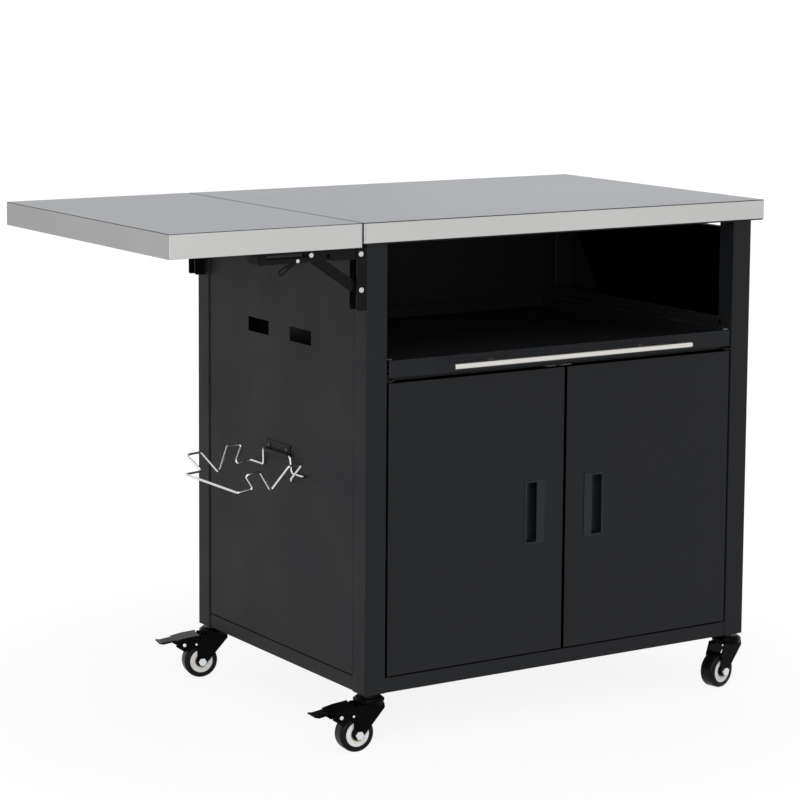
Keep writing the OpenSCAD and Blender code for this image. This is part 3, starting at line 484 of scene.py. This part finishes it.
rounded("door_hinge_pins", 0.4, keys=["black_steel"])
rounded("door_hinge_washers", 0.3, keys=["black_steel"])
rounded("door_catches", 0.8)
rounded("post_plugs", 0.5)
rounded("caster_stems", 0.6)
for side in ("left", "right"):
    rounded(f"{side}_door_skin", 0.25, 1.4, lies_on(1, 1.0), seams=DOOR_SEAMS)
    rounded(f"{side}_door_liner", 0.25)
    rounded(f"{side}_door_pull", 0.3, 0.6, lies_on(1, 0.0))

# ---------------------------------------------------------------- tray handle

HANDLE_MID = (404, -27.5, 640.5)


def add_handle():
    bm = bmesh.new()
    radius, length, edge = 5.0, 500.0, 0.8
    middle_x, y, z = HANDLE_MID
    start = (middle_x - length / 2, y, z)
    profile = [(0, 0)] + arc((radius - edge, edge), edge, -90, 0, 4)
    profile += [(r, length - along) for r, along in reversed(profile)]
    lathe(bm, profile, start, (1, 0, 0), 48)
    add_piece("tray_handle_round", bm, ["handle_steel"], "tray", ["tray_handle_bar"])


add_handle()

# ---------------------------------------------------------------- bag rack

RACK_AT = Vector((-2.6, 287.5, 460))
RACK_SIDE = [
    (0, 0, 35), (0, 0, 46), (-2.3, -28, 49), (-2.3, -28, 93), (30, -30, 93), (9, 0, 105), (37.5, 1, 107),
    (63.5, -39, 90), (92, 1, 103), (121.5, 1, 105), (96.5, -29.5, 90), (129, -29.5, 92),
]
RACK_DROOP = math.tan(math.radians(5))
WIRE_R, WIRE_BEND = 2.0, 4


def rounded_line(path, radius, steps):
    """The path with each corner turned into an arc."""
    line = [path[0]]
    for before, corner, after in zip(path, path[1:], path[2:]):
        ahead = (corner - before).normalized()
        onward = (after - corner).normalized()
        turn = ahead.angle(onward)
        out = (ahead * ahead.dot(onward) - onward).normalized()
        centre = corner - ahead * radius * math.tan(turn / 2) - out * radius
        for k in range(steps + 1):
            t = turn * k / steps
            line.append(centre + radius * (out * math.cos(t) + ahead * math.sin(t)))
    return line + [path[-1]]


def add_rack():
    rear = [Vector((-x, y, z - max(x, 0) * RACK_DROOP)) for x, z, y in RACK_SIDE]
    front = [Vector((p.x, -p.y, p.z)) for p in reversed(rear)]
    line = [RACK_AT + p for p in rounded_line(rear + front, WIRE_BEND, 10)]
    wire = sweep(bmesh.new(), line, WIRE_R)
    add_piece("bag_rack_round", wire, ["chrome"], "bag_rack", ["bag_rack_wire"])


add_rack()

# ---------------------------------------------------------------- screws

RACK_SCREW_Z, RAIL_SCREW_Z = 469, 666


def add_screws():
    """The screws of the rack's hinge plate, then those of the tray's rails."""
    bm = bmesh.new()
    for y in (257.5, 317.5):
        pan_head(bm, (0.5, y, RACK_SCREW_Z), (-1, 0, 0), 4.0, 2.0)
    for x, way in ((41.5, 1), (766.5, -1)):
        for y in (31, 544):
            pan_head(bm, (x, y, RAIL_SCREW_Z), (way, 0, 0), 4.0, 2.0)
    add_piece("cabinet_screw_heads", bm, ["black_screw"], "cabinet", ["cabinet_screws"])


add_screws()

# ---------------------------------------------------------------- casters

WHEEL_R, TRAIL, HEAD_Z = 31.0, 27.0, 81.8
BRAKE = Vector((-38.5, 0, 65.0))
RIDGE_X, RIDGE_Z, RIDGE_STEP, PEDAL_SLOPE = -44, 7.9, 3.8, 2.5 / 16
CASTERS = {
    "fl": ("front_left", (20, 20, 0), -5, True),
    "rl": ("rear_left", (20, 555, 0), -13, True),
    "fr": ("front_right", (788, 20, 0), 12, False),
    "rr": ("rear_right", (788, 555, 0), -10, False),
}
AXLE = (-TRAIL, 0, WHEEL_R)


def mirrored(profile):
    """The profile, followed by its mirror image across the wheel's middle."""
    return profile + [(r, -y) for r, y in reversed(profile)]


TYRE = mirrored(
    [(21.5, 14.0), (22.2, 14.5)] + arc((25, 8.5), 6, 90, 0)
    + [(31, 7.2), (30.5, 6.8), (30.5, 6.2), (31, 5.8)]
)
CORE = mirrored([
    (12.2, 12.9), (12.8, 13.5), (16.0, 13.5), (16.5, 13.0),
    (17.3, 13.0), (17.8, 13.5), (20.8, 13.5), (21.5, 12.9),
])
BEARING = mirrored([(10.2, 12.3), (10.9, 13.1), (12.2, 13.1), (12.5, 12.7)])
HUB = mirrored([(4.1, 15.4), (6.6, 15.4), (7.0, 15.0), (7.0, 12.4), (10.2, 12.1)])
HEAD = (
    [(5, 0), (23.2, 0)] + arc((24.0, 2.5), 2.5, -90, 0, 4)
    + [(26.5, 4.4), (26.1, 5.0), (25.0, 5.2), (24.6, 5.6)]
    + arc((19.0, 3.6), 5.6, 20, 90, 5) + [(13.6, 9.2), (13.2, 8.6), (5, 8.6)]
)


def add_wheel(tag, body, place):
    for name, profile, key, nodes in (
        ("tyre_round", TYRE, "tyre", [f"tyre_{tag}"]),
        ("core_ring", CORE, "wheel_core", [f"core_{tag}"]),
        ("bearing_ring", BEARING, "brass", []),
        ("hub", HUB, "black_plastic", []),
    ):
        bm = lathe(bmesh.new(), profile, AXLE, (0, 1, 0), 96, ring=True)
        add_piece(f"{name}_{tag}", bm, [key], body, nodes, place)


def add_brake(tag, body, place):
    """Zinc rivet heads and the grip ridges of the pedal."""
    bm = bmesh.new()
    for side in (-1, 1):
        pan_head(bm, BRAKE + Vector((0, side * 20.8, 0)), (0, side, 0), 3.7, 2.0)
    add_piece(f"brake_rivets_{tag}", bm, ["zinc"], f"{body}_caster", (), place)
    bm = bmesh.new()
    for side in (-1, 1):
        pan_head(bm, BRAKE + Vector((-22, side * 20.5, 0)), (0, side, 0), 3.5, 1.6)
    add_piece(f"pedal_rivets_{tag}", bm, ["zinc"], f"{body}_brake_pedal", (), place)
    bm = bmesh.new()
    for step in range(5):
        x = RIDGE_X - RIDGE_STEP * step
        z = RIDGE_Z + (x - RIDGE_X) * PEDAL_SLOPE
        line = [BRAKE + Vector((x, y, z)) for y in (-12.5, 12.5)]
        sweep(bm, line, 0.9, 12)
    pedal = f"{body}_brake_pedal"
    add_piece(f"pedal_ridges_{tag}", bm, ["gloss_black"], pedal, (), place, bevel=0.3)


for tag, (body, spot, turn, braked) in CASTERS.items():
    place = CART @ Matrix.Translation(spot) @ Matrix.Rotation(math.radians(turn), 4, "Z")
    add_wheel(tag, f"{body}_wheel", place)
    rounded(f"fork_{tag}", 0.6, keys=["gloss_black"])
    rounded(f"axle_{tag}", 0.7)
    if braked:
        rounded(f"pedal_{tag}", 0.5, keys=["gloss_black"])
        add_brake(tag, body, place)


def add_heads():
    bm = bmesh.new()
    for _, (x, y, _), _, _ in CASTERS.values():
        lathe(bm, HEAD, (x, y, HEAD_Z), (0, 0, 1), 72, ring=True)
    add_piece("caster_heads_round", bm, ["gloss_black"], "cabinet", ["caster_heads"])


add_heads()

# ---------------------------------------------------------------- light and floor

def add_light(name, energy, size, location, target):
    data = bpy.data.lights.new(name, "AREA")
    data.energy = energy
    data.shape, data.size, data.size_y = "RECTANGLE", size[0], size[1]
    lamp = bpy.data.objects.new(name, data)
    bpy.context.scene.collection.objects.link(lamp)
    lamp.location = location
    lamp.rotation_euler = (Vector(target) - Vector(location)).to_track_quat("-Z", "Y").to_euler()


def seen_directly(tree):
    """1 where a camera, glossy or transmission ray arrives, and 0 for the rays that light the object."""
    path = tree.nodes.new("ShaderNodeLightPath")
    last = path.outputs["Is Camera Ray"]
    for other in ("Is Glossy Ray", "Is Transmission Ray"):
        larger = tree.nodes.new("ShaderNodeMath")
        larger.operation = "MAXIMUM"
        tree.links.new(last, larger.inputs[0])
        tree.links.new(path.outputs[other], larger.inputs[1])
        last = larger.outputs[0]
    return last


def add_world():
    """White where it is seen, and a softer level of it as light."""
    world = bpy.data.worlds.new("studio")
    bpy.context.scene.world = world
    world.use_nodes = True
    tree = world.node_tree
    soft = tree.nodes["Background"]
    soft.inputs["Color"].default_value = (1, 1, 1, 1)
    soft.inputs["Strength"].default_value = 0.42
    white = tree.nodes.new("ShaderNodeBackground")
    white.inputs["Color"].default_value = (1, 1, 1, 1)
    white.inputs["Strength"].default_value = 1.0
    mix = tree.nodes.new("ShaderNodeMixShader")
    tree.links.new(seen_directly(tree), mix.inputs[0])
    tree.links.new(soft.outputs[0], mix.inputs[1])
    tree.links.new(white.outputs[0], mix.inputs[2])
    tree.links.new(mix.outputs[0], tree.nodes["World Output"].inputs["Surface"])


def add_floor():
    """A white floor that keeps the cart's shadow near it and turns plain white further out."""
    mesh = bpy.data.meshes.new("floor")
    side = 30
    corners = [(-side, -side, 0), (side, -side, 0), (side, side, 0), (-side, side, 0)]
    mesh.from_pydata(corners, [], [(0, 1, 2, 3)])
    floor = bpy.data.objects.new("floor", mesh)
    bpy.context.scene.collection.objects.link(floor)
    material = bpy.data.materials.new("floor")
    material.use_nodes = True
    tree = material.node_tree
    diffuse = tree.nodes["Principled BSDF"]
    diffuse.inputs["Base Color"].default_value = (0.92, 0.92, 0.92, 1)
    diffuse.inputs["Roughness"].default_value = 0.9
    diffuse.inputs["Specular IOR Level"].default_value = 0.1
    white = tree.nodes.new("ShaderNodeEmission")
    white.inputs["Strength"].default_value = 1.05
    mix = tree.nodes.new("ShaderNodeMixShader")
    share = tree.nodes.new("ShaderNodeMath")
    share.operation = "MULTIPLY"
    place = tree.nodes.new("ShaderNodeTexCoord")
    reach = tree.nodes.new("ShaderNodeVectorMath")
    reach.operation = "LENGTH"
    tree.links.new(place.outputs["Object"], reach.inputs[0])
    fade = tree.nodes.new("ShaderNodeMapRange")
    fade.interpolation_type = "SMOOTHSTEP"
    for key, value in (("From Min", 0.5), ("From Max", 1.5), ("To Min", 0.85), ("To Max", 1.0)):
        fade.inputs[key].default_value = value
    tree.links.new(reach.outputs["Value"], fade.inputs["Value"])
    tree.links.new(fade.outputs["Result"], share.inputs[1])
    tree.links.new(seen_directly(tree), share.inputs[0])
    tree.links.new(share.outputs[0], mix.inputs[0])
    tree.links.new(diffuse.outputs[0], mix.inputs[1])
    tree.links.new(white.outputs[0], mix.inputs[2])
    tree.links.new(mix.outputs[0], tree.nodes["Material Output"].inputs["Surface"])
    mesh.materials.append(material)


add_camera()
add_world()
add_floor()
add_light("key", 112, (4, 4), (-3.0, -5.0, 6.0), (0, 0, 0.5))
add_light("fill", 11, (1.0, 1.0), (-1.4, -1.9, 0.85), (-0.2, 0, 0.45))
add_light("rim", 1.0, (2, 2), (3.2, 3.2, 2.2), (0.3, 0, 0.8))

scene = bpy.context.scene
scene.view_settings.view_transform = "Standard"
